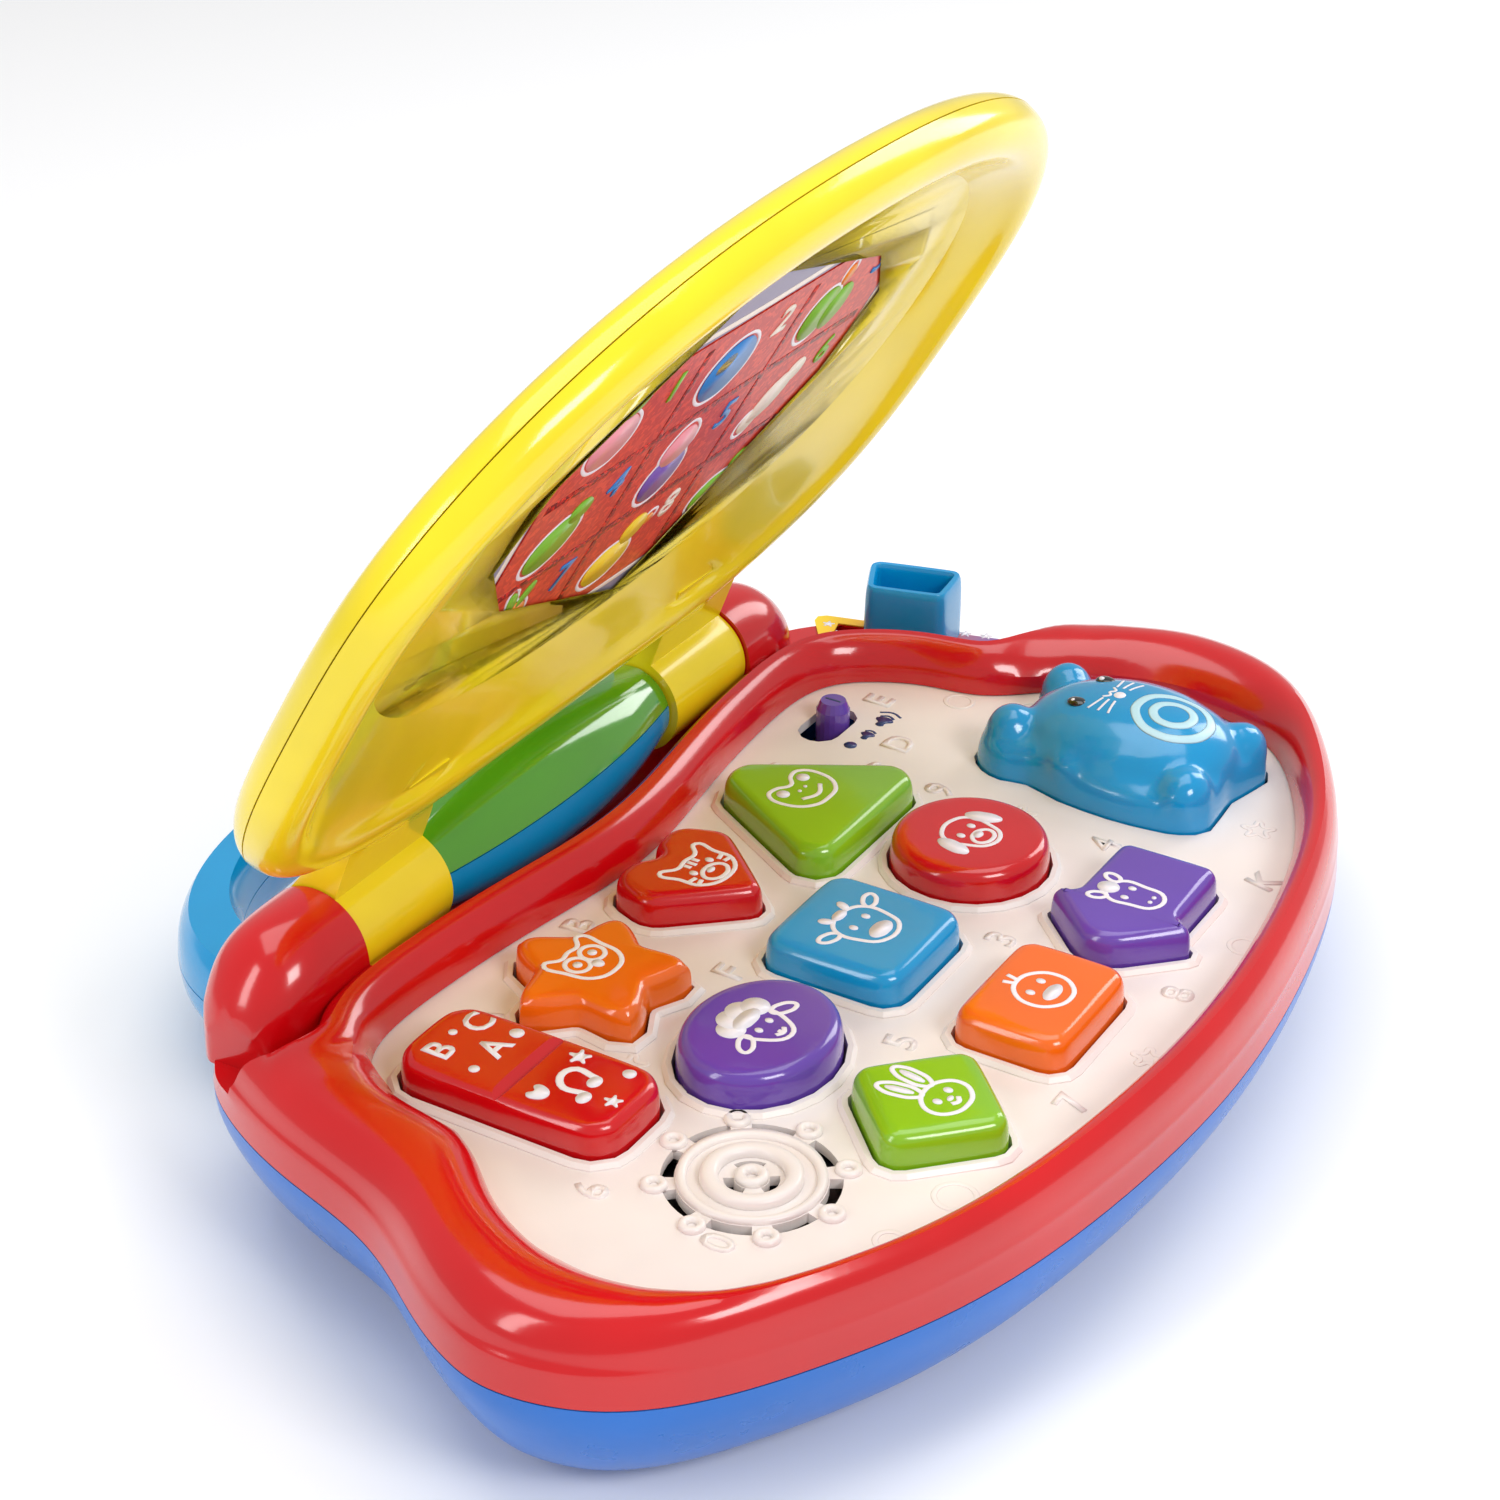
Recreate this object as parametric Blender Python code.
"""Toddler's toy laptop: a lobed base with nine shape buttons, a rocker, a mouse and a side slider,
and an oval lid with a picture screen on a rear hinge. Metres, +X to the user's right, +Y to the
hinge, +Z up, origin in the middle of the flat underside. The lid is stored standing open."""

import math

import bmesh
import bpy
import numpy as np
from mathutils import Matrix, Vector

MM = 0.001
GAP = 0.3                    # clearance between fixed neighbours
RUNNING = 0.06               # radial clearance of a turning pin
WALL = 2.2                   # moulded wall

# Base, in millimetres. Each row pairs a point on the rim's inner edge with one on its outer edge.
RIM = (
    ((0, 46.5), (0, 92)),          # dip in front of the roller
    ((48, 53), (55, 92)),
    ((88, 54), (100, 85)),         # back corner
    ((103, 37), (120, 60)),
    ((107, 18), (132, 24)),        # side notch
    ((121, 1), (148, -1)),
    ((129, -20), (154, -20)),      # side lobe
    ((124, -44), (146, -43)),
    ((105, -61), (120, -64)),      # front notch
    ((66, -76), (74, -84.5)),
    ((0, -83), (0, -94)),          # front middle
)
RIM_STEPS = 3                # stations between two rows
PARTING_Z = 30.0             # red shell above, blue shell below
PLATE_Z = 36.0               # top of the keyboard plate
PLATE_T = 2.2
PLATE_TUCK = 3.0             # how far the plate reaches under the rim
CREST_Z = 47.0
RIDGE_W = 11.4               # ridge width where a deck lies behind it
DECK_Z = 32.4
TROUGH_Z = 29.4              # deck under the roller
LEDGE_Z = 33.6               # side ledge that carries the slider
LEDGE_BULGE = 14.0
LEDGE_Y = 52.0
LEDGE_SPREAD = 24.0
LEDGE_END_Y = 20.0

# Hinge
HINGE_Y = 77.0
HINGE_Z = 46.0
EAR_INNER_X = 75.0
EAR_R = 13.0
KNUCKLE_X = (44.4, 74.6)
KNUCKLE_R = 12.0
PIN_R = 2.5
PIN_X = (40.6, 87.0)
ROLLER_HALF = 43.8
ROLLER_END_R = 10.0
ROLLER_MID_R = 15.6
OPEN_DEG = 60.0              # lid angle above the base as stored

# Lid, in millimetres from the hinge axis: along the lid (v) and through its thickness (w)
LID_V = 99.0
LID_A = 123.5
LID_B = 80.0
LID_POWER = 2.25
LID_LOW_B = 81.5             # the half nearest the hinge is longer and squarer
LID_LOW_POWER = 3.3
LID_STEPS = 40
SEAM_W = 9.5
PANEL_V = 103.0
PANEL_A = 98.0
PANEL_B = 56.0
PANEL_W = 10.4
LENS_V = 97.5
LENS_A = 62.0
LENS_B = 41.0
LENS_POWER = 9.0

# Keys
KEY_TOP_Z = 44.0
KEY_FOOT_Z = 29.4
KEY_TRAVEL = 2.5
WELL_GAP = 0.5
SKIRT_Z = 31.0
COLLAR_W = 2.4
COLLAR_H = 1.1
CORNER_STEPS = 3

RED = (0.68, 0.010, 0.016)
BLUE = (0.0, 0.21, 0.72)
SKY = (0.0, 0.33, 0.74)
YELLOW = (0.91, 0.68, 0.010)
CREAM = (0.80, 0.73, 0.69)
GREEN = (0.27, 0.53, 0.014)
ORANGE = (0.91, 0.22, 0.018)
PURPLE = (0.14, 0.075, 0.35)
STEEL = (0.55, 0.56, 0.58)
DARK = (0.03, 0.03, 0.035)
BOARD = (0.02, 0.16, 0.06)


def clear_scene():
    for thing in list(bpy.data.objects):
        bpy.data.objects.remove(thing, do_unlink=True)


def material(name, colour, rough=0.25, metal=0.0):
    mat = bpy.data.materials.get(name) or bpy.data.materials.new(name)
    mat.use_nodes = True
    shader = mat.node_tree.nodes["Principled BSDF"]
    shader.inputs["Base Color"].default_value = (*colour, 1.0)
    shader.inputs["Roughness"].default_value = rough
    shader.inputs["Metallic"].default_value = metal
    return mat


def place(bm, name, mat, origin=(0.0, 0.0, 0.0)):
    """Turns a bmesh in millimetres into a named object whose origin is at the given point."""
    bmesh.ops.recalc_face_normals(bm, faces=bm.faces)
    bmesh.ops.translate(bm, verts=bm.verts, vec=-Vector(origin))
    bmesh.ops.scale(bm, verts=bm.verts, vec=(MM, MM, MM))
    mesh = bpy.data.meshes.new(name)
    bm.to_mesh(mesh)
    bm.free()
    mesh.materials.append(mat)
    obj = bpy.data.objects.new(name, mesh)
    bpy.context.scene.collection.objects.link(obj)
    obj.location = Vector(origin) * MM
    return obj


def finish(obj, angle=35.0):
    """Rounded faces shade smooth, and edges sharper than the angle stay crisp."""
    for poly in obj.data.polygons:
        poly.use_smooth = True
    obj.data.set_sharp_from_angle(angle=math.radians(angle))
    return obj


def loft(loops, ring=False):
    """Quads between equal loops. A ring joins last to first; otherwise both ends get a face."""
    bm = bmesh.new()
    rows = [[bm.verts.new(Vector(p)) for p in loop] for loop in loops]
    pairs = list(zip(rows, rows[1:] + rows[:1])) if ring else list(zip(rows, rows[1:]))
    for low, high in pairs:
        for i in range(len(low)):
            j = (i + 1) % len(low)
            bm.faces.new((low[i], low[j], high[j], high[i]))
    if not ring:
        bm.faces.new(rows[0])
        bm.faces.new(rows[-1])
    return bm


def box(low, high):
    bm = bmesh.new()
    bmesh.ops.create_cube(bm, size=1.0)
    low, high = Vector(low), Vector(high)
    bmesh.ops.scale(bm, verts=bm.verts, vec=high - low)
    bmesh.ops.translate(bm, verts=bm.verts, vec=(low + high) / 2)
    return bm


def rod(start, end, radius, sides=16, radius2=None):
    """A faceted cylinder or cone from one point to another."""
    bm = bmesh.new()
    start, end = Vector(start), Vector(end)
    along = end - start
    bmesh.ops.create_cone(
        bm, cap_ends=True, segments=sides, radius1=radius, radius2=radius2 or radius, depth=along.length)
    turn = along.to_track_quat("Z", "Y").to_matrix()
    bmesh.ops.rotate(bm, verts=bm.verts, matrix=turn)
    bmesh.ops.translate(bm, verts=bm.verts, vec=(start + end) / 2)
    return bm


def prism(outline, z_low, z_high):
    return loft([[(x, y, z) for x, y in outline] for z in (z_low, z_high)])


def merged(pieces):
    """One bmesh of several separate closed shapes."""
    whole = bmesh.new()
    for piece in pieces:
        mesh = bpy.data.meshes.new("piece")
        bmesh.ops.recalc_face_normals(piece, faces=piece.faces)
        piece.to_mesh(mesh)
        piece.free()
        whole.from_mesh(mesh)
        bpy.data.meshes.remove(mesh)
    return whole


def boolean(obj, bm, operation):
    """Applies a Boolean with a shape given in millimetres, then drops the helper."""
    helper = place(bm, "helper", obj.data.materials[0])
    helper.hide_render = True
    helper.display_type = "WIRE"
    step = obj.modifiers.new("cut", "BOOLEAN")
    step.operation = operation
    step.solver = "EXACT"
    step.object = helper
    graph = bpy.context.evaluated_depsgraph_get()
    result = bpy.data.meshes.new_from_object(obj.evaluated_get(graph))
    obj.modifiers.remove(step)
    old = obj.data
    obj.data = result
    bpy.data.meshes.remove(old)
    bpy.data.objects.remove(helper, do_unlink=True)
    return obj


def unite(obj, *shapes):
    for bm in shapes:
        boolean(obj, bm, "UNION")
    return obj


def cut(obj, *shapes):
    for bm in shapes:
        boolean(obj, bm, "DIFFERENCE")
    return obj


def catmull(points, steps):
    """Closed smooth curve through the points, with the same steps between each pair."""
    pts = np.array(points, float)
    count = len(pts)
    found = []
    for i in range(count):
        p0, p1, p2, p3 = (pts[(i + k - 1) % count] for k in range(4))
        for s in range(steps):
            t = s / steps
            found.append(0.5 * (2 * p1 + (p2 - p0) * t + (2 * p0 - 5 * p1 + 4 * p2 - p3) * t * t
                                + (3 * p1 - p0 - 3 * p2 + p3) * t ** 3))
    return np.array(found)


def offset(outline, inset):
    """Moves a closed outline inwards by the inset, keeping its point count."""
    pts = np.array(outline, float)
    edge = np.roll(pts, -1, axis=0) - pts
    area = np.sum(pts[:, 0] * np.roll(pts[:, 1], -1) - np.roll(pts[:, 0], -1) * pts[:, 1])
    normal = np.stack([-edge[:, 1], edge[:, 0]], axis=1) * math.copysign(1.0, area)
    normal /= np.linalg.norm(normal, axis=1)[:, None]
    before = np.roll(normal, 1, axis=0)
    lean = 1.0 + np.sum(normal * before, axis=1)
    return pts + inset * (normal + before) / lean[:, None]


def superellipse(centre, a, b, power, count):
    angle = np.arange(count) * 2 * math.pi / count
    c, s = np.cos(angle), np.sin(angle)
    x = a * np.sign(c) * np.abs(c) ** (2 / power)
    y = b * np.sign(s) * np.abs(s) ** (2 / power)
    return np.stack([x + centre[0], y + centre[1]], axis=1)


def rounded(corners, steps=CORNER_STEPS):
    """Outline with a fillet at each corner; corners are (x, y, radius)."""
    found = []
    count = len(corners)
    for i, (x, y, radius) in enumerate(corners):
        here = Vector((x, y))
        back = (Vector(corners[i - 1][:2]) - here).normalized()
        ahead = (Vector(corners[(i + 1) % count][:2]) - here).normalized()
        half = back.angle(ahead) / 2
        reach = radius / math.tan(half)
        first, last = here + back * reach, here + ahead * reach
        centre = here + (back + ahead).normalized() * radius / math.sin(half)
        for k in range(steps + 1):
            spoke = (first - centre).lerp(last - centre, k / steps).normalized()
            found.append(tuple(centre + spoke * radius))
    return np.array(found)


def moved(outline, centre):
    return np.array(outline) + np.array(centre)


def at_z(outline, z):
    return [(x, y, z) for x, y in outline]


# ---------------------------------------------------------------- outlines of the base

def bulged(point):
    """The right side of the base swells outwards to carry the slider's ledge."""
    x, y = point
    share = math.exp(-0.5 * ((y - LEDGE_Y) / LEDGE_SPREAD) ** 2) * min(1.0, x / EAR_INNER_X)
    return (x + LEDGE_BULGE * share * (y < 95), y)


def rim_edges():
    """Matching inner and outer edges of the rim, anticlockwise seen from above."""
    inner = [row[0] for row in RIM]
    outer = [row[1] for row in RIM]
    left_inner = [(-x, y) for x, y in inner]
    left_outer = [(-x, y) for x, y in outer]
    right_outer = [bulged(p) if p[0] > 0 else p for p in outer]
    inside = left_inner + inner[-2:0:-1]
    outside = left_outer + right_outer[-2:0:-1]
    return catmull(inside, RIM_STEPS), catmull(outside, RIM_STEPS)


INSIDE, OUTSIDE = rim_edges()


def deck_share(point):
    """1 behind the hinge line, 0 elsewhere, and the deck's height there."""
    x, y = point
    if y > HINGE_Y - 18 and abs(x) < 112:
        return 1.0, TROUGH_Z if abs(x) < 50 else DECK_Z
    if x > 0 and LEDGE_END_Y < y < 80:
        return 1.0, LEDGE_Z
    return 0.0, PLATE_Z + 1.0


def rim_section(station):
    """Closed cross-section of the red shell at one station: over the ridge, then back underneath."""
    a, b = INSIDE[station], OUTSIDE[station]
    width = float(np.linalg.norm(b - a))
    out = (b - a) / width
    share, deck = deck_share(b)
    ridge = min(RIDGE_W, width * 0.7) if share else width * 0.93
    far = width - WALL - 0.2
    outer = [
        (0.0, PLATE_Z + GAP), (0.3, PLATE_Z + 4.5), (ridge * 0.2, CREST_Z - 2.4), (ridge * 0.42, CREST_Z - 0.3),
        (ridge * 0.62, CREST_Z), (ridge * 0.84, CREST_Z - 2.0), (ridge * 0.96, CREST_Z - 5.4),
        (ridge, deck + (0.05 if share else 1.0)),
        ((ridge + width) / 2, deck), (width - 0.6, deck - 0.05 if share else deck - 1.6),
        (width, PARTING_Z),
    ]
    inner = [
        (width - WALL, PARTING_Z), (far, min(deck - 3.0, PLATE_Z - 2.6)),
        (min((ridge + width) / 2, far - 0.1), deck - WALL), (min(ridge - 2.0, far - 0.6), deck - 1.4),
        (ridge * 0.80, CREST_Z - 5.2), (ridge * 0.6, CREST_Z - 2.4), (ridge * 0.38, CREST_Z - 3.2),
        (WALL + 0.1, CREST_Z - 7.0),
        (WALL, PLATE_Z + GAP),
    ]
    return [(a[0] + out[0] * s, a[1] + out[1] * s, z) for s, z in outer + inner]


# ---------------------------------------------------------------- button outlines

def star_outline():
    corners = []
    for i in range(5):
        tip = math.radians(90 + 72 * i)
        dent = math.radians(126 + 72 * i)
        corners.append((24.5 * math.cos(tip), 24.5 * math.sin(tip), 4.2))
        corners.append((12.6 * math.cos(dent), 12.6 * math.sin(dent), 3.0))
    return rounded(corners, 2)


def heart_outline():
    half = [(17.8, 2.6, 6.2), (12.9, 15.4, 6.2), (3.4, 13.8, 4.6)]
    right = [(0, -17.2, 3.8)] + half
    left = [(-x, y, r) for x, y, r in reversed(half)]
    return rounded(right + [(0, 9.3, 2.7)] + left, 3)


def arrow_outline():
    upper = [(-7.5, 17.5, 2.0), (-5.0, 12.0, 2.7), (18.0, 12.0, 3.4)]
    lower = [(x, -y, r) for x, y, r in reversed(upper)]
    return rounded([(-25.0, 0, 8.0)] + lower[::-1] + upper[::-1], 3)


def rectangle(w, h, r):
    return rounded([(w / 2, -h / 2, r), (w / 2, h / 2, r), (-w / 2, h / 2, r), (-w / 2, -h / 2, r)])


BUTTONS = {
    "button_star_owl": (star_outline(), (-49, 27), ORANGE),
    "button_heart_cat": (heart_outline(), (-6, 28.6), RED),
    "button_triangle_frog": (rounded([(0, 28, 7), (-27, -17, 6), (27, -17, 6)], 4), (34, 24.5), GREEN),
    "button_oval_sheep": (superellipse((0, 0), 19.5, 16.0, 2.0, 20), (-50.5, -12.5), PURPLE),
    "button_square_cow": (rectangle(33.0, 33.0, 5.5), (-7.5, -12), SKY),
    "button_circle_dog": (superellipse((0, 0), 18.0, 17.6, 2.0, 22), (37, -14), RED),
    "button_diamond_rabbit": (
        rounded([(0, -18.5, 4.5), (19, 0, 4.5), (0, 18.5, 4.5), (-19, 0, 4.5)]), (-53, -51.5), GREEN),
    "button_rectangle_duck": (rectangle(34.0, 25.5, 5.0), (-10, -54), ORANGE),
    "button_arrow_horse": (arrow_outline(), (35, -54.5), PURPLE),
}
ROCKER_SIZE = (25.0, 51.0, 7.0)
ROCKER_AT = (-85.5, 18.5)
ROCKER_PIVOT_Z = 34.5
ROCKER_FOOT_Z = 28.1
SWITCH_AT = (75.5, 43.0)
SWITCH_SLOT = (18.0, 10.0)
SWITCH_TRAVEL = 3.0
SPEAKER_AT = (-85.0, -31.0)
SPEAKER_SLOTS = 8
MOUSE_AT = (94.0, -25.5)
MOUSE_TURN_DEG = -5.0
MOUSE_BODY = (22.0, 27.0)
MOUSE_DOME = ((0.93, 9.2), (0.82, 12.6), (0.66, 15.2), (0.46, 17.0), (0.24, 17.9))   # share of the body, rise
SLIDER_TRAVEL = 14.0                 # length of the slot each way
SCREWS = ((-108.0, -10.0), (-84.0, -56.0), (64.0, -62.0), (96.0, 31.0))
BAY_LOW = (-32.0, 4.0, 0.4)          # battery bay, walls included
BAY_HIGH = (32.0, 48.0, 19.3)
BAY_WALL = 1.8
BATTERY_Y = (22.0, 38.0)
BATTERY_Z = 9.9
BATTERY_R = 7.1
DOOR_SCREW_AT = (0.0, 10.4)
HANDLE_Z = (9.0, 29.4)
HANDLE_SPLIT_Z = 19.0
HANDLE_Y = 93.0
HANDLE_HOLE = (58.5, 39.0, 2.5)
HANDLE_RIM = (76.0, 50.0, 2.4)
LEDGE_MID = (128.2, 49.5)            # middle of the slider's path
LEDGE_WAY = tuple(Vector((0.27, -0.963)).normalized())
BOARD_BOX = ((-101.0, -66.0), (57.0, 42.0))


# ---------------------------------------------------------------- base

def base_top_shell():
    stations = [rim_section(i) for i in range(len(INSIDE))]
    obj = place(loft(stations, ring=True), "base_top_shell", material("red_shell", RED))
    for side in (-1, 1):
        unite(obj, ear(side))
        cut(obj, rod((side * (EAR_INNER_X - 1), HINGE_Y, HINGE_Z),
                     (side * (PIN_X[1] + 0.4), HINGE_Y, HINGE_Z), PIN_R + RUNNING, 24))
    slot = offset_path_slot(2.2)
    cut(obj, slot)
    return finish(obj)


def ear(side):
    """Rounded post that holds one hinge pin, sinking into the rim on its outer side."""
    rows = []
    profile = ((EAR_INNER_X, 1.0, 0.0), (88.0, 1.0, 0.0), (95.0, 0.93, 2.0), (100.5, 0.76, 5.5), (103.5, 0.5, 9.0))
    for x, share, drop in profile:
        radius = EAR_R * share
        top = HINGE_Z - drop
        arc = [math.radians(180 * k / 10) for k in range(11)]
        row = [(side * x, HINGE_Y + radius * math.cos(t), top + radius * math.sin(t)) for t in arc]
        row += [(side * x, HINGE_Y - radius, DECK_Z - 1.0), (side * x, HINGE_Y + radius, DECK_Z - 1.0)]
        rows.append(row)
    return loft(rows)


def ledge_point(along, across=0.0):
    """A point on the ledge's middle line, by distance along it towards the front."""
    way = Vector(LEDGE_WAY)
    out = Vector((-way.y, way.x))
    return Vector(LEDGE_MID) + way * along + out * across



def offset_path_slot(half):
    reach = SLIDER_TRAVEL + 4.6
    corners = [ledge_point(sx * reach, sy * half) for sx, sy in ((-1, -1), (1, -1), (1, 1), (-1, 1))]
    return prism([tuple(c) for c in corners], LEDGE_Z - 4.5, LEDGE_Z + 3.0)


def base_bottom_shell():
    steps = ((0.0, PARTING_Z - GAP), (0.1, 26.0), (1.8, 21.0), (5.2, 14.2), (10.0, 7.5), (15.5, 2.8), (20.5, 0.7),
             (25.0, 0.0))
    back = ((25.0, WALL), (20.9, 2.9), (16.6, 4.7), (11.6, 9.0), (7.2, 15.2), (4.0, 21.6), (WALL + 0.1, 26.2),
            (WALL, PARTING_Z - GAP))
    loops = [at_z(offset(OUTSIDE, inset), z) for inset, z in steps + back]
    obj = place(loft_open(loops), "base_bottom_shell", material("blue_shell", BLUE))
    unite(obj, box(BAY_LOW, BAY_HIGH))
    cut(obj, box((BAY_LOW[0] + BAY_WALL, BAY_LOW[1] + BAY_WALL, -1.0),
                 (BAY_HIGH[0] - BAY_WALL, BAY_HIGH[1] - BAY_WALL, BAY_HIGH[2] - 1.6)))
    x, y = DOOR_SCREW_AT
    unite(obj, rod((x, y, 2.6), (x, y, BAY_HIGH[2] - 1.0), 3.2, 16))
    cut(obj, rod((x, y, 1.0), (x, y, 12.0), 1.06, 12))
    unite(obj, merged([rod((x, y, 1.2), (x, y, 14.2), 4.2, 12) for x, y in SCREWS]))
    cut(obj, merged([rod((x, y, -1.0), (x, y, 9.0), 3.3, 12) for x, y in SCREWS]))
    cut(obj, merged([rod((x, y, 8.0), (x, y, 15.0), 1.8, 12) for x, y in SCREWS]))
    cut(obj, *[box((side * 67.4 - 9.4, 60.0, HANDLE_Z[0] - GAP), (side * 67.4 + 9.4, 96.0, PLATE_Z)) for side in (-1, 1)])
    return finish(obj)



def loft_open(loops):
    """A dish: outer loops down to a flat floor, then inner loops back up to the rim."""
    bm = bmesh.new()
    rows = [[bm.verts.new(Vector(p)) for p in loop] for loop in loops]
    half = len(rows) // 2
    pairs = list(zip(rows[:half], rows[1:half])) + list(zip(rows[half:], rows[half + 1:])) + [(rows[-1], rows[0])]
    for low, high in pairs:
        for i in range(len(low)):
            j = (i + 1) % len(low)
            bm.faces.new((low[i], low[j], high[j], high[i]))
    bm.faces.new(rows[half - 1])
    bm.faces.new(rows[half])
    return bm


def key_plans():
    plans = [moved(outline, centre) for outline, centre, _ in BUTTONS.values()]
    plans.append(moved(rectangle(*ROCKER_SIZE), ROCKER_AT))
    return plans


def arc_slot(centre, r_low, r_high, start, sweep, z_low, z_high, steps=4):
    angles = [math.radians(start + sweep * k / steps) for k in range(steps + 1)]
    outer = [(centre[0] + r_high * math.cos(t), centre[1] + r_high * math.sin(t)) for t in angles]
    inner = [(centre[0] + r_low * math.cos(t), centre[1] + r_low * math.sin(t)) for t in reversed(angles)]
    return prism(outer + inner, z_low, z_high)


def switch_outline(grow):
    return rectangle(SWITCH_SLOT[0] + grow, SWITCH_SLOT[1] + grow, (SWITCH_SLOT[1] + grow) / 2 - 0.1)


def keyboard_plate():
    outline = offset(INSIDE, -PLATE_TUCK)
    obj = place(prism(outline, PLATE_Z - PLATE_T, PLATE_Z), "keyboard_plate", material("cream_plate", CREAM, 0.4))
    for plan in key_plans():
        unite(obj, loft([
            at_z(offset(plan, -COLLAR_W), SKIRT_Z), at_z(offset(plan, -COLLAR_W), PLATE_Z + 0.3),
            at_z(offset(plan, -COLLAR_W + 0.8), PLATE_Z + COLLAR_H)]))
    unite(obj, merged([rod((x, y, 14.5), (x, y, PLATE_Z - 1.0), 3.4, 12) for x, y in SCREWS]))
    for plan in key_plans():
        cut(obj, prism(offset(plan, -WELL_GAP), SKIRT_Z - 1.0, PLATE_Z + 3.0))
    cut(obj, prism(offset(mouse_plan(), -WELL_GAP), PLATE_Z - 10.0, PLATE_Z + 3.0))
    cut(obj, prism(moved(switch_outline(0.0), SWITCH_AT), PLATE_Z - 10.0, PLATE_Z + 3.0))
    cut(obj, merged([rod((x, y, 13.0), (x, y, 23.0), 1.56, 12) for x, y in SCREWS]))
    sweep = 360.0 / SPEAKER_SLOTS
    slots = [arc_slot(SPEAKER_AT, 14.6, 17.2, sweep * k, sweep * 0.68, PLATE_Z - 10.0, PLATE_Z + 10.0) for k in range(SPEAKER_SLOTS)]
    slots += [arc_slot(SPEAKER_AT, 3.4, 5.4, 120.0 * k, 70.0, PLATE_Z - 10.0, PLATE_Z + 10.0) for k in range(3)]
    cut(obj, merged(slots))
    return finish(obj)


def key(name, outline, centre, colour, foot=KEY_FOOT_Z):
    """Hollow cap with a bevelled top and a flange that keeps it under the plate."""
    loops = ((-1.2, foot), (-1.2, foot + 1.2), (0.0, foot + 1.2), (0.0, KEY_TOP_Z - 3.4),
             (0.7, KEY_TOP_Z - 1.3), (1.8, KEY_TOP_Z - 0.3), (3.0, KEY_TOP_Z))
    inside = ((1.9, KEY_TOP_Z - 2.8), (1.9, foot))
    plan = moved(outline, centre)
    bm = loft_hollow([at_z(offset(plan, inset), z) for inset, z in loops],
                     [at_z(offset(plan, inset), z) for inset, z in inside])
    obj = place(bm, name, material(name + "_plastic", colour), (*centre, PLATE_Z))
    return finish(obj, 50.0)


def loft_hollow(outer, inner):
    """A cap: outer loops up to a closed top, inner loops from a closed ceiling down to the foot."""
    bm = bmesh.new()
    out_rows = [[bm.verts.new(Vector(p)) for p in loop] for loop in outer]
    in_rows = [[bm.verts.new(Vector(p)) for p in loop] for loop in inner]
    pairs = list(zip(out_rows, out_rows[1:])) + list(zip(in_rows, in_rows[1:])) + [(in_rows[-1], out_rows[0])]
    for low, high in pairs:
        for i in range(len(low)):
            j = (i + 1) % len(low)
            bm.faces.new((low[i], low[j], high[j], high[i]))
    bm.faces.new(out_rows[-1])
    bm.faces.new(in_rows[0])
    return bm


def rocker():
    outline = rectangle(*ROCKER_SIZE)
    obj = key("rocker_button", outline, ROCKER_AT, RED, ROCKER_FOOT_Z)
    x, y = ROCKER_AT
    half = ROCKER_SIZE[0] / 2 + 1
    groove = loft([[(sx, y - 2.2, KEY_TOP_Z + 0.5), (sx, y, KEY_TOP_Z - 1.5), (sx, y + 2.2, KEY_TOP_Z + 0.5)]
                   for sx in (x - half, x + half)])
    cut(obj, groove)
    return set_origin(finish(obj, 50.0), (x, y, ROCKER_PIVOT_Z))


def set_origin(obj, point):
    """Moves an object's origin without moving its surface."""
    goal = Vector(point) * MM
    obj.data.transform(Matrix.Translation(obj.location - goal))
    obj.location = goal
    return obj


def mouse_plan():
    """Footprint of the mouse: body, two ears towards the hinge and two feet towards the user."""
    half = [(0, 25.5), (6.5, 27.5), (11.0, 31.0), (16.5, 30.5), (20.8, 26.0), (22.0, 20.5), (20.3, 14.5),
            (22.4, 5.0), (22.6, -8.0), (21.0, -18.0), (19.0, -24.0), (13.5, -28.5), (0, -26.5)]
    left = [(-x, y) for x, y in half]
    turn = math.radians(MOUSE_TURN_DEG)
    whole = catmull(left + half[-2:0:-1], 2)
    turned = np.stack([whole[:, 0] * math.cos(turn) - whole[:, 1] * math.sin(turn),
                       whole[:, 0] * math.sin(turn) + whole[:, 1] * math.cos(turn)], axis=1)
    return moved(turned, MOUSE_AT)


def mouse():
    """Hollow animal-shaped cap: its sides follow the footprint and rise into a domed back."""
    plan = mouse_plan()
    centre = np.array(MOUSE_AT)
    rows = [at_z(offset(plan, inset), z) for inset, z in ((0.0, PLATE_Z - 5.4), (0.0, PLATE_Z + 2.5), (0.8, PLATE_Z + 6.6))]
    spokes = offset(plan, 0.8) - centre
    length = np.linalg.norm(spokes, axis=1)
    heading = spokes / length[:, None]
    body = 1.0 / np.hypot(heading[:, 0] / MOUSE_BODY[0], heading[:, 1] / MOUSE_BODY[1])
    for share, rise in MOUSE_DOME:
        rows.append(at_z(centre + heading * (body * share)[:, None], PLATE_Z + rise))
    hollow = ((0.6, PLATE_Z + 11.0), (0.84, PLATE_Z + 4.0), (0.84, PLATE_Z - 5.4))
    inside = [at_z(centre + heading * (body * share)[:, None], z) for share, z in hollow]
    obj = place(loft_hollow(rows, inside), "mouse_button", material("mouse_blue", SKY), (*MOUSE_AT, PLATE_Z))
    return finish(obj, 50.0)


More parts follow.
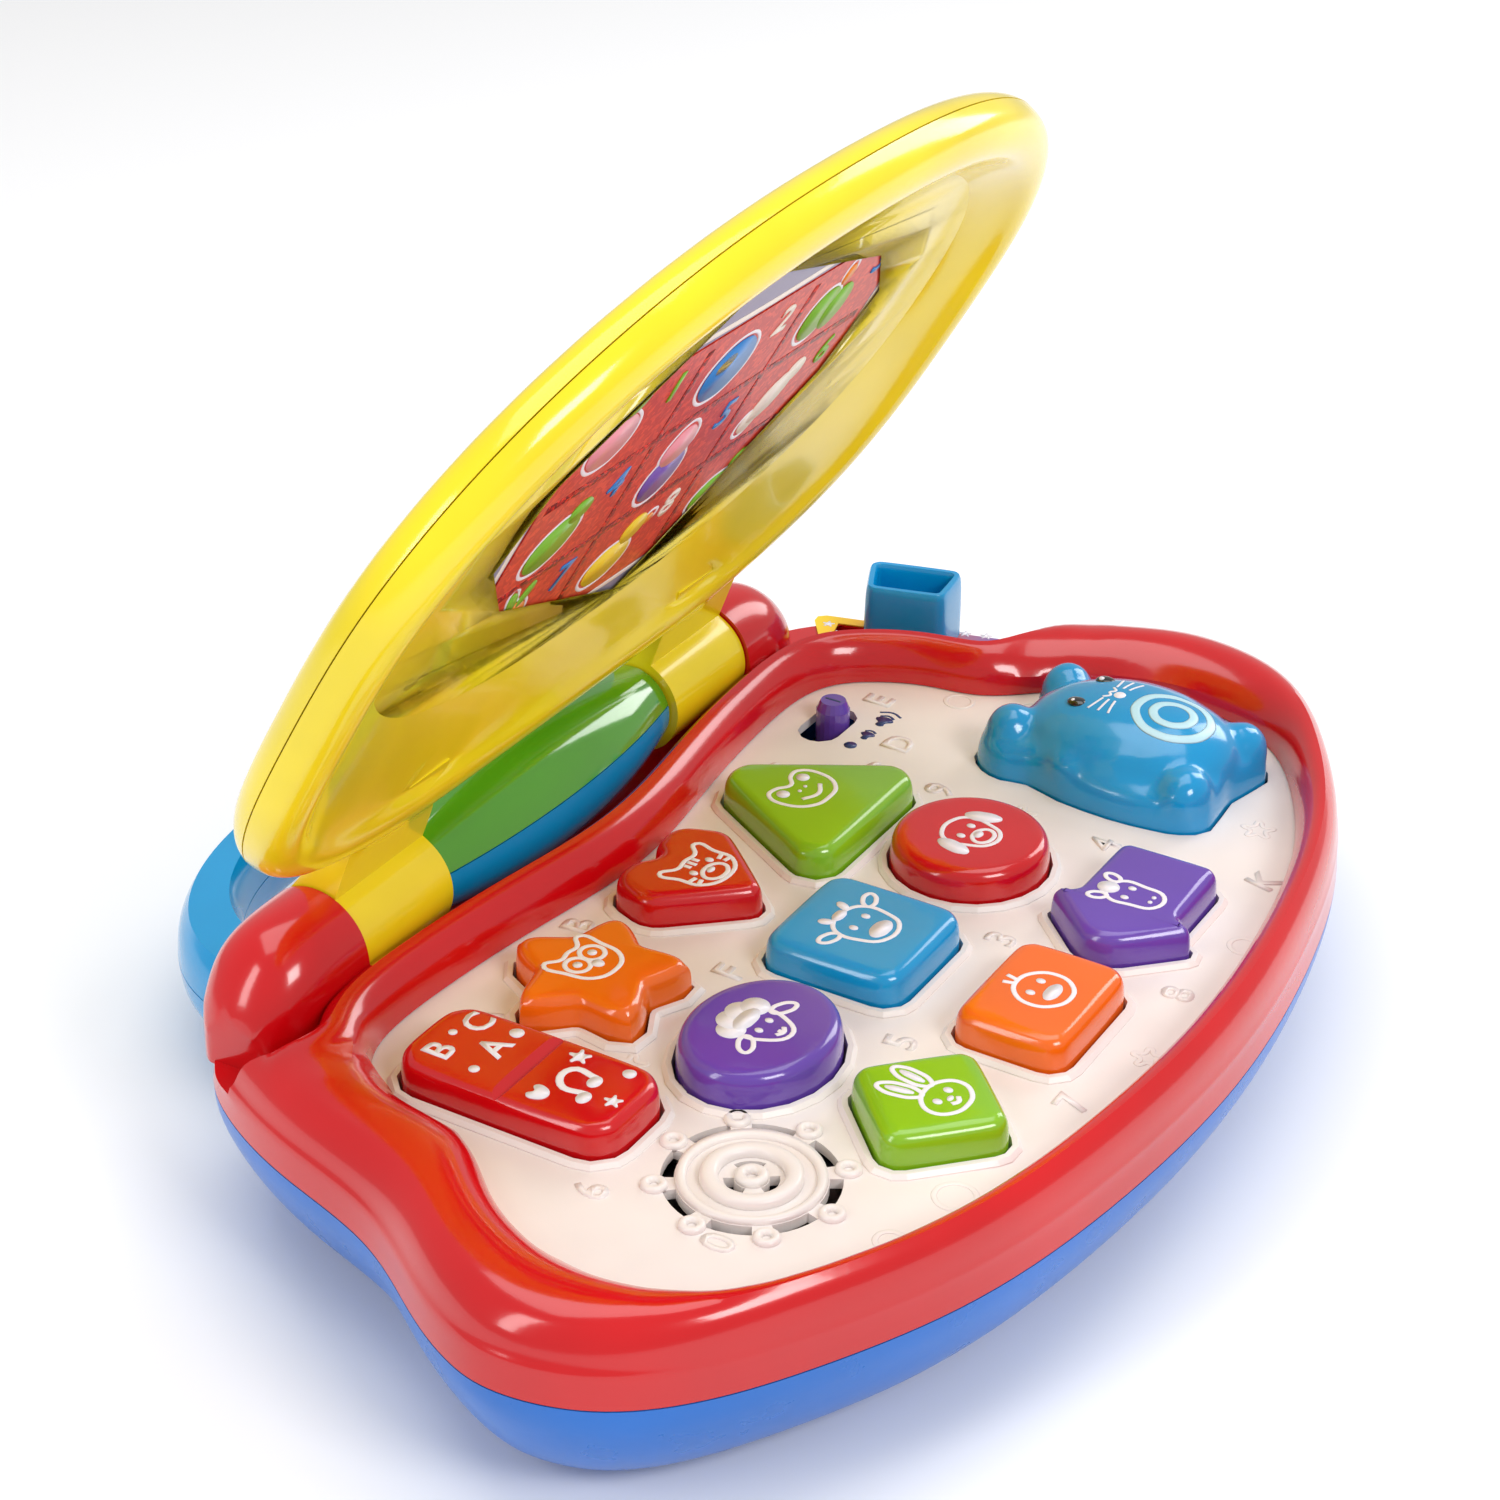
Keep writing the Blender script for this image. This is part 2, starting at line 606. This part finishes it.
def volume_parts():
    x, y = SWITCH_AT
    obj = place(rod((x + 2.4, y, PLATE_Z - 7.4), (x + 2.4, y, PLATE_Z + 3.2), 4.0, 20), "volume_knob", material("violet_knob", PURPLE), (x + 2.4, y, PLATE_Z))
    unite(obj, rod((x + 2.4, y, PLATE_Z + 3.0), (x + 2.4, y, PLATE_Z + 5.4), 4.0, 20, 3.0))
    finish(obj)
    case = box((x - 11, y - 6, PLATE_Z - 13.2), (x + 11, y + 6, PLATE_Z - 7.8))
    body = place(case, "volume_switch_body", material("switch_black", DARK, 0.4))
    return obj, finish(body)


def slider_plan(inset):
    """Trapezoid block, its long side outwards."""
    corners = []
    for along, across, radius in ((-12.5, 8.0, 3.2), (-10.0, -8.5, 3.2), (10.0, -8.5, 3.2), (12.5, 8.0, 3.2)):
        p = ledge_point(along, across)
        corners.append((p.x, p.y, radius))
    return offset(rounded(corners, 3), inset)


def side_slider():
    outer = [(0.0, LEDGE_Z + 0.7), (0.0, LEDGE_Z + 15.6), (0.8, LEDGE_Z + 16.8)]
    inner = [(2.0, LEDGE_Z + 16.8), (2.8, LEDGE_Z + 15.6), (2.8, LEDGE_Z + 2.9)]
    rows = [at_z(slider_plan(inset), z) for inset, z in outer + inner]
    bm = loft(rows)
    obj = place(bm, "side_slider", material("slider_blue", SKY), (*ledge_point(0), LEDGE_Z))
    neck = [tuple(ledge_point(sx * 4.0, sy * 1.9)) for sx, sy in ((-1, -1), (1, -1), (1, 1), (-1, 1))]
    foot = [tuple(ledge_point(sx * 4.6, sy * 2.8 - 0.4)) for sx, sy in ((-1, -1), (1, -1), (1, 1), (-1, 1))]
    unite(obj, prism(neck, LEDGE_Z - 4.0, LEDGE_Z + 1.2), prism(foot, LEDGE_Z - 4.6, LEDGE_Z - 3.3))
    return finish(obj)


def slider_label():
    corners = []
    for along, across, radius in ((-26.0, 6.0, 2.5), (-21.5, -6.0, 2.5), (24.0, -7.4, 2.5), (24.0, 5.6, 2.5)):
        p = ledge_point(along, across)
        corners.append((p.x, p.y, radius))
    return corners


def handle_half(name, z_low, z_high, crown):
    """Half of the carrying handle: a channel bent round the finger hole."""
    count = 24
    rows = []
    for k in range(count + 1):
        angle = math.radians(-10 + 200 * k / count)
        c, s = math.cos(angle), math.sin(angle)
        ends = []
        for a, b, power in (HANDLE_HOLE, HANDLE_RIM):
            ends.append(np.array([a * math.copysign(abs(c) ** (2 / power), c),
                                  HANDLE_Y + b * math.copysign(abs(s) ** (2 / power), s)]))
        low, high = ends
        width = float(np.linalg.norm(high - low))
        out = (high - low) / width
        depth = z_high - z_low
        outer = [(0.0, z_low), (0.3, z_low + depth * 0.62), (2.6, z_high), (width - 3.2, z_high),
                 (width - 0.4, z_low + depth * 0.6), (width, z_low)]
        inner = [(width - 2.0, z_low), (width - 2.6, z_high - 2.4), (2.6, z_high - 2.4), (2.0, z_low)]
        row = []
        for s_, z in outer + inner:
            zz = z if crown else z_high + z_low - z
            row.append((low[0] + out[0] * s_, low[1] + out[1] * s_, zz))
        rows.append(row)
    return finish(place(loft(rows), name, material("handle_blue", SKY)))


def batteries():
    found = []
    for k, y in enumerate(BATTERY_Y):
        direction = 1 if k else -1
        name = f"aa_battery_{k + 1}"
        bm = rod((-24.6, y, BATTERY_Z), (24.6, y, BATTERY_Z), BATTERY_R, 20)
        obj = place(bm, name, material("battery_wrap", DARK, 0.35))
        unite(obj, rod((direction * 24.0, y, BATTERY_Z), (direction * 25.8, y, BATTERY_Z), 2.7, 12))
        found.append(finish(obj))
    for k, x in enumerate((-28.9, 28.9)):
        side = math.copysign(1.0, x)
        bm = box((x - 0.25, 15.0, 3.2), (x + 0.25, 45.0, 17.0))
        obj = place(bm, f"battery_contact_{k + 1}", material("spring_steel", STEEL, 0.3, 1.0))
        spring_y = BATTERY_Y[1 - k]
        unite(obj, rod((x - side * 0.1, spring_y, BATTERY_Z), (x - side * 3.0, spring_y, BATTERY_Z), 4.2, 12, 2.6))
        found.append(obj)
    return found


def battery_door():
    inset = BAY_WALL + GAP
    low = (BAY_LOW[0] + inset, BAY_LOW[1] + inset, 0.3)
    high = (BAY_HIGH[0] - inset, BAY_HIGH[1] - inset, 2.3)
    obj = place(box(low, high), "battery_door", material("door_blue", BLUE, 0.4))
    x, y = DOOR_SCREW_AT
    cut(obj, rod((x, y, -1.0), (x, y, 4.0), 1.4, 12))
    cut(obj, rod((x, y, -1.0), (x, y, 1.4), 2.7, 12))
    return finish(obj)


def screw(name, x, y, z_head, z_seat, head_r, shank_r, z_tip):
    bm = rod((x, y, z_head), (x, y, z_seat), head_r, 12)
    obj = place(bm, name, material("zinc_screw", STEEL, 0.3, 1.0))
    unite(obj, rod((x, y, z_seat - 0.5), (x, y, z_tip), shank_r, 12))
    cut(obj, box((x - 1.6, y - 0.35, z_head - 1.0), (x + 1.6, y + 0.35, z_head + 0.4)))
    return finish(obj)


def electronics():
    (x0, y0), (x1, y1) = BOARD_BOX
    board = place(box((x0, y0, 19.9), (x1, y1, 21.3)), "main_circuit_board", material("circuit_board", BOARD, 0.35))
    clear = [rod((x, y, 18.0), (x, y, 24.0), 4.0, 12)
             for x, y in SCREWS if x0 - 4 < x < x1 + 4 and y0 - 4 < y < y1 + 4]
    if clear:
        cut(board, merged(clear))
    rubber = box((x0 + 28, y0 + 2, 21.7), (x1 - 2, y1 - 2, 22.5))
    sheet = place(rubber, "keypad_membrane", material("grey_rubber", (0.3, 0.3, 0.32), 0.6))
    centres = [c for _, c, _ in BUTTONS.values()]
    domes = [rod((x, y, 22.2), (x, y, 25.6), 5.0, 12, 3.2) for x, y in centres]
    unite(sheet, merged(domes))
    x, y = SPEAKER_AT
    rows = ((12.0, 22.4), (12.5, 25.2), (18.5, 28.2), (18.5, 30.4), (16.5, 30.4), (9.0, 27.4))
    count = 20
    loops = []
    for radius, z in rows:
        loops.append(at_z(superellipse((x, y), radius, radius, 2.0, count), z))
    speaker = place(loft(loops), "speaker_unit", material("speaker_black", DARK, 0.5))
    return finish(board), finish(sheet), finish(speaker)


# ---------------------------------------------------------------- lid

def lid_point(u, v, w):
    """From lid millimetres to the stored open pose."""
    t = math.radians(OPEN_DEG)
    return (u, HINGE_Y - v * math.cos(t) + w * math.sin(t), HINGE_Z + v * math.sin(t) + w * math.cos(t))


def lid_loop(outline, w):
    return [lid_point(u, v, w) for u, v in outline]


def lid_outline(inset):
    upper = superellipse((0, LID_V), LID_A, LID_B, LID_POWER, LID_STEPS)
    lower = superellipse((0, LID_V), LID_A, LID_LOW_B, LID_LOW_POWER, LID_STEPS)
    return offset(np.where(upper[:, 1:] > LID_V, upper, lower), inset)


def panel_outline(inset):
    return superellipse((0, PANEL_V), PANEL_A - inset, PANEL_B - inset, LID_POWER, LID_STEPS)


def lens_outline(inset):
    return superellipse((0, LENS_V), LENS_A - inset, LENS_B - inset, LENS_POWER, LID_STEPS)


def between(one, other, share):
    return one * (1 - share) + other * share


def lid_front_shell():
    front = [(0.0, SEAM_W), (0.3, 6.4), (2.2, 3.6), (6.5, 1.8), (10.5, 2.8), (13.0, 5.2)]
    loops = [lid_loop(lid_outline(inset), w) for inset, w in front]
    loops += [lid_loop(between(lid_outline(13.0), panel_outline(-0.6), 0.75), 8.6),
              lid_loop(panel_outline(-0.6), PANEL_W - 0.3), lid_loop(panel_outline(-0.5), PANEL_W + 0.6),
              lid_loop(lens_outline(-0.4), PANEL_W + 0.6), lid_loop(lens_outline(-0.4), PANEL_W + 2.6),
              lid_loop(panel_outline(-2.0), PANEL_W + 2.6),
              lid_loop(between(lid_outline(13.0), panel_outline(-0.6), 0.5), 10.2)]
    back = [(12.5, 7.8), (9.0, 5.0), (6.3, 4.2), (3.6, 6.0), (WALL, 8.4), (WALL, SEAM_W)]
    loops += [lid_loop(lid_outline(inset), w) for inset, w in back]
    obj = place(loft(loops, ring=True), "lid_front_shell", material("yellow_front", YELLOW))
    for side in (-1, 1):
        unite(obj, knuckle(side))
        cut(obj, rod((side * (KNUCKLE_X[0] - 1), HINGE_Y, HINGE_Z), (side * (KNUCKLE_X[1] + 1), HINGE_Y, HINGE_Z), PIN_R + RUNNING, 24))
    return finish(obj)


def knuckle(side):
    """Hinge barrel with the arm that carries the lid."""
    arc = [math.radians(70 + 298 * k / 18) for k in range(19)]
    profile = [(KNUCKLE_R * math.cos(t), KNUCKLE_R * math.sin(t)) for t in arc]
    profile += [(14.5, 2.1), (33.5, 5.2), (33.5, SEAM_W - 0.3), (20.0, SEAM_W - 0.3)]
    return loft([[lid_point(side * x, v, w) for v, w in profile] for x in KNUCKLE_X])


def lid_back_shell():
    outer = [(0.0, SEAM_W + GAP), (0.4, 12.0), (2.6, 14.9), (7.0, 16.9), (16.0, 18.3), (34.0, 19.2), (58.0, 19.4)]
    inner = [(58.0, 17.4), (34.0, 17.2), (16.4, 16.2), (8.4, 14.8), (4.6, 13.0), (2.6, 11.4), (WALL, SEAM_W + GAP)]
    loops = [lid_loop(lid_outline(inset), w) for inset, w in outer + inner]
    return finish(place(loft_open(loops), "lid_back_shell", material("yellow_back", YELLOW)))


def screen_parts():
    panel = [lid_loop(panel_outline(0.4), PANEL_W), lid_loop(panel_outline(0.4), PANEL_W + 0.4),
             lid_loop(lens_outline(-0.4), PANEL_W + 0.4), lid_loop(lens_outline(-0.4), PANEL_W)]
    print_sheet = place(loft(panel, ring=True), "screen_print_sheet", material("printed_border", (0.35, 0.33, 0.42), 0.4))
    lens = [lid_loop(lens_outline(0.0), PANEL_W - 0.2), lid_loop(lens_outline(0.0), PANEL_W + 2.4)]
    lens_obj = place(loft(lens), "screen_lens", material("red_lens", (0.75, 0.05, 0.01), 0.2))
    low, high = (-52.0, LENS_V - 30.0), (52.0, LENS_V + 30.0)
    corners = [(low[0], low[1]), (high[0], low[1]), (high[0], high[1]), (low[0], high[1])]
    board = place(loft([[lid_point(u, v, w) for u, v in corners] for w in (14.4, 15.8)]),
                  "screen_light_board", material("circuit_board", BOARD, 0.35))
    leds = []
    for u in (-36.0, 0.0, 36.0):
        leds.append(loft([[lid_point(u + a, LENS_V + b, w) for a, b in ((-2, -2), (2, -2), (2, 2), (-2, 2))]
                          for w in (13.3, 14.6)]))
    unite(board, merged(leds))
    return [finish(print_sheet), finish(lens_obj), finish(board)]


def roller_half(name, start_deg, colour):
    """Half of the barrel between the hinge knuckles: a hollow shell swept through half a turn."""
    steps = 8
    along = [k / steps for k in range(steps + 1)]
    outer = [(-ROLLER_HALF + 2 * ROLLER_HALF * t, ROLLER_END_R + (ROLLER_MID_R - ROLLER_END_R) * math.sin(math.pi * t) ** 0.8)
             for t in along]
    inner = [(x * 0.94, r - WALL) for x, r in reversed(outer)]
    shaft = PIN_R + RUNNING
    section = [(-ROLLER_HALF, shaft)] + outer + [(ROLLER_HALF, shaft), (ROLLER_HALF * 0.94, shaft)] + inner
    section += [(-ROLLER_HALF * 0.94, shaft)]
    rows = []
    sweep = 10
    lift = 0.15
    for k in range(sweep + 1):
        t = math.radians(start_deg + 180.0 * k / sweep)
        up = math.radians(start_deg + 90)
        rows.append([(x, HINGE_Y + r * math.cos(t) + lift * math.cos(up), HINGE_Z + r * math.sin(t) + lift * math.sin(up))
                     for x, r in section])
    obj = place(loft(rows), name, material(name + "_plastic", colour))
    return set_origin(finish(obj), (0, HINGE_Y, HINGE_Z))


def hinge_pins():
    for side, word in ((-1, "left"), (1, "right")):
        bm = rod((side * PIN_X[0], HINGE_Y, HINGE_Z), (side * PIN_X[1], HINGE_Y, HINGE_Z), PIN_R, 24)
        finish(place(bm, f"hinge_pin_{word}", material("hinge_steel", STEEL, 0.25, 1.0)))


def build():
    clear_scene()
    base_top_shell()
    base_bottom_shell()
    keyboard_plate()
    for name, (outline, centre, colour) in BUTTONS.items():
        key(name, outline, centre, colour)
    rocker()
    mouse()
    volume_parts()
    side_slider()
    sheet = prism(rounded(slider_label(), 2), LEDGE_Z + 0.15, LEDGE_Z + 0.45)
    label = place(sheet, "slider_label", material("label_print", (0.9, 0.5, 0.1), 0.3))
    cut(label, offset_path_slot(2.6))
    handle_half("handle_upper_half", HANDLE_SPLIT_Z + GAP / 2, HANDLE_Z[1], True)
    handle_half("handle_lower_half", HANDLE_Z[0], HANDLE_SPLIT_Z - GAP / 2, False)
    batteries()
    battery_door()
    for k, (x, y) in enumerate(SCREWS):
        screw(f"case_screw_{k + 1}", x, y, 7.1, 8.9, 3.0, 1.5, 21.5)
    screw("battery_door_screw", *DOOR_SCREW_AT, 0.4, 1.3, 2.4, 1.0, 10.0)
    electronics()
    hinge_pins()
    lid = [lid_front_shell(), lid_back_shell()] + screen_parts()
    for piece in lid:
        set_origin(piece, (0, HINGE_Y, HINGE_Z))
    roller_half("roller_green_half", -15.0, GREEN)
    roller_half("roller_blue_half", 165.0, SKY)


build()
